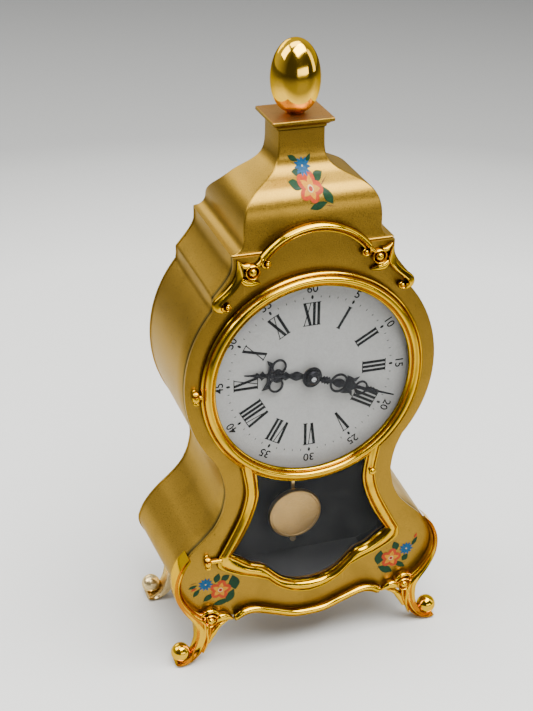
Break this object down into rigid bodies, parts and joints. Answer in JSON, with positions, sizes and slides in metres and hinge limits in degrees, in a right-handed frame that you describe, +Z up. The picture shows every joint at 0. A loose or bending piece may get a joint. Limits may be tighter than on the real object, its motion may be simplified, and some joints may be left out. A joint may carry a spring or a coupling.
{
  "type": "mantel clock",
  "caption": "Small bell-topped, waisted mantel clock on scrolled ball feet, with an opening glazed front door, a rear winding door, hands, a spring movement and a pendulum.",
  "frame": {"origin": "centre of the overall bounding box at table level", "axes": "+Z up, -Y towards the front (the dial faces -Y), +X to the viewer's right"},
  "size_m": [0.0884, 0.048, 0.1888],
  "materials": {
    "satin_gold": "satin gold paint, lightly worn",
    "polished_gold": "polished and gilded",
    "plate_brass": "satin",
    "steel": "fine turned",
    "blued_steel": "near-black blued",
    "dial_silver": "fine matte silver-grey",
    "glass": "clear",
    "black_card": "matte black",
    "bob_gold": "satin, pale",
    "transfer_paint": "printed flower transfer under varnish"
  },
  "bodies": {
    "case": {"front_panel": "satin_gold", "case_shell": "satin_gold", "roof_hood": "satin_gold", "cap_plate": "satin_gold", "finial_egg": "polished_gold", "finial_screw": "steel", "rear_panel": "satin_gold", "rear_panel_screw_1": "plate_brass", "rear_panel_screw_2": "plate_brass", "rear_panel_screw_3": "plate_brass", "rear_panel_screw_4": "plate_brass", "rear_door_hinge_pin": "steel", "arch_moulding": "polished_gold", "right_corner_scroll": "polished_gold", "left_corner_scroll": "polished_gold", "apron_moulding": "polished_gold", "right_front_leg": "polished_gold", "left_front_leg": "polished_gold", "right_rear_foot": "polished_gold", "left_rear_foot": "polished_gold", "right_decal": "transfer_paint", "left_decal": "transfer_paint", "top_decal": "transfer_paint", "upper_hinge_post": "polished_gold", "lower_hinge_post": "polished_gold", "dial_plate": "dial_silver", "movement_front_plate": "plate_brass", "movement_rear_plate": "plate_brass", "movement_pillar_1": "steel", "movement_pillar_2": "steel", "movement_pillar_3": "steel", "pendulum_cock": "plate_brass", "chamber_liner": "black_card"},
    "front_door": {"door_frame": "polished_gold", "dial_glass": "glass", "window_glass": "glass", "door_knob": "polished_gold"},
    "rear_door": {"rear_door": "satin_gold"},
    "hands_arbor": {"centre_arbor": "steel", "minute_hand": "blued_steel", "hand_nut": "blued_steel", "set_knob": "plate_brass"},
    "minute_wheel": {"minute_wheel": "plate_brass"},
    "hour_wheel": {"hour_wheel": "plate_brass", "hour_hand": "blued_steel"},
    "centre_wheel": {"centre_wheel": "plate_brass"},
    "intermediate_wheel": {"intermediate_wheel": "plate_brass"},
    "mainspring_barrel": {"mainspring_barrel": "plate_brass", "mainspring": "steel"},
    "third_wheel": {"third_wheel": "plate_brass"},
    "fourth_wheel": {"fourth_wheel": "plate_brass"},
    "escape_wheel": {"escape_wheel": "plate_brass"},
    "pallet_lever": {"pallet_lever": "steel"},
    "balance": {"balance_wheel": "plate_brass", "hairspring": "blued_steel"},
    "winding": {"winding_arbor": "steel", "winding_key": "plate_brass"},
    "winding_click": {"winding_click": "steel"},
    "pendulum": {"pendulum_rod": "plate_brass", "pendulum_bob": "bob_gold"}
  },
  "joints": [
    {"name": "front_door_hinge", "type": "hinge", "parent": "case", "child": "front_door", "pos_m": [-0.03385, -0.0207, 0.06495], "axis": [0.0507, 0, -0.9987], "range_deg": [0, 110]},
    {"name": "rear_door_hinge", "type": "hinge", "parent": "case", "child": "rear_door", "pos_m": [-0.0276, 0.0219, 0.096], "axis": [0, 0, 1], "range_deg": [0, 110]},
    {"name": "hands_turn", "type": "hinge", "parent": "case", "child": "hands_arbor", "pos_m": [0, -0.0192, 0.094], "axis": [0, 1, 0], "continuous": true},
    {"name": "minute_wheel_turn", "type": "hinge", "parent": "case", "child": "minute_wheel", "pos_m": [-0.00906, -0.0192, 0.08977], "axis": [0, 1, 0], "continuous": true},
    {"name": "hour_turn", "type": "hinge", "parent": "case", "child": "hour_wheel", "pos_m": [0, -0.0192, 0.094], "axis": [0, 1, 0], "continuous": true},
    {"name": "train_turn", "type": "hinge", "parent": "case", "child": "centre_wheel", "pos_m": [0, -0.0192, 0.094], "axis": [0, 1, 0], "continuous": true},
    {"name": "intermediate_turn", "type": "hinge", "parent": "case", "child": "intermediate_wheel", "pos_m": [-0.00931, -0.0192, 0.09166], "axis": [0, 1, 0], "continuous": true},
    {"name": "barrel_turn", "type": "hinge", "parent": "case", "child": "mainspring_barrel", "pos_m": [-0.00749, -0.0192, 0.10413], "axis": [0, 1, 0], "continuous": true},
    {"name": "third_turn", "type": "hinge", "parent": "case", "child": "third_wheel", "pos_m": [0.00795, -0.0192, 0.08876], "axis": [0, 1, 0], "continuous": true},
    {"name": "fourth_turn", "type": "hinge", "parent": "case", "child": "fourth_wheel", "pos_m": [0.00297, -0.0192, 0.08148], "axis": [0, 1, 0], "continuous": true},
    {"name": "escape_turn", "type": "hinge", "parent": "case", "child": "escape_wheel", "pos_m": [-0.00415, -0.0192, 0.07988], "axis": [0, 1, 0], "continuous": true},
    {"name": "pallet_swing", "type": "hinge", "parent": "case", "child": "pallet_lever", "pos_m": [-0.011, -0.0192, 0.08172], "axis": [0, 1, 0], "range_deg": [-5, 5]},
    {"name": "balance_swing", "type": "hinge", "parent": "case", "child": "balance", "pos_m": [-0.01662, -0.0192, 0.08434], "axis": [0, 1, 0], "range_deg": [-135, 135]},
    {"name": "winding_turn", "type": "hinge", "parent": "case", "child": "winding", "pos_m": [-0.00749, -0.0192, 0.10413], "axis": [0, 1, 0], "continuous": true},
    {"name": "click_lift", "type": "hinge", "parent": "case", "child": "winding_click", "pos_m": [-0.01487, -0.0192, 0.10477], "axis": [0, 1, 0], "range_deg": [0, 10]},
    {"name": "pendulum_swing", "type": "hinge", "parent": "case", "child": "pendulum", "pos_m": [0, -0.0192, 0.066], "axis": [0, 1, 0], "range_deg": [-8, 8]}
  ],
  "couplings": [
    {"joint": "minute_wheel_turn", "follows": "hands_turn", "ratio": -0.33333},
    {"joint": "hour_turn", "follows": "hands_turn", "ratio": 0.083333},
    {"joint": "intermediate_turn", "follows": "train_turn", "ratio": -0.14286},
    {"joint": "barrel_turn", "follows": "train_turn", "ratio": 0.02381},
    {"joint": "third_turn", "follows": "train_turn", "ratio": -7.5},
    {"joint": "fourth_turn", "follows": "train_turn", "ratio": 60},
    {"joint": "escape_turn", "follows": "train_turn", "ratio": -480}
  ]
}
